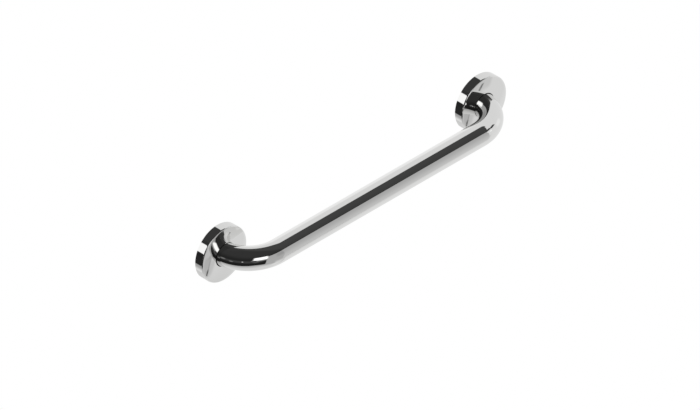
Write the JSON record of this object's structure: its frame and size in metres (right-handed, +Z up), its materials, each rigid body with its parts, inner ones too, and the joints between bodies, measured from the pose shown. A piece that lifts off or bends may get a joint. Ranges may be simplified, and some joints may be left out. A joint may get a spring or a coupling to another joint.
{
  "type": "grab bar",
  "caption": "Straight wall grab bar: a round tube bent back at both ends, with welded fixing plates hidden by round push-on covers.",
  "frame": {"origin": "on the wall plane, midway between the centres of the two fixing plates", "axes": "+X along the bar, +Y into the wall, +Z up"},
  "size_m": [0.5352, 0.0698, 0.078],
  "materials": {
    "polished_tube": "mirror-polished bright metal",
    "polished_cover": "mirror-polished bright metal",
    "plain_steel": "mill finish, welded"
  },
  "bodies": {
    "bar": {"grip_tube": "polished_tube", "left_flange": "plain_steel", "right_flange": "plain_steel"},
    "left_cover": {"left_cover": "polished_cover"},
    "right_cover": {"right_cover": "polished_cover"}
  },
  "joints": [
    {"name": "left_cover_slide", "type": "hinge", "parent": "bar", "child": "left_cover", "pos_m": [-0.1778, -0.00317, 0], "axis": [0, 0, 1], "range_deg": [0, 75]},
    {"name": "right_cover_slide", "type": "hinge", "parent": "bar", "child": "right_cover", "pos_m": [0.1778, -0.00317, 0], "axis": [0, 0, -1], "range_deg": [0, 75]}
  ]
}
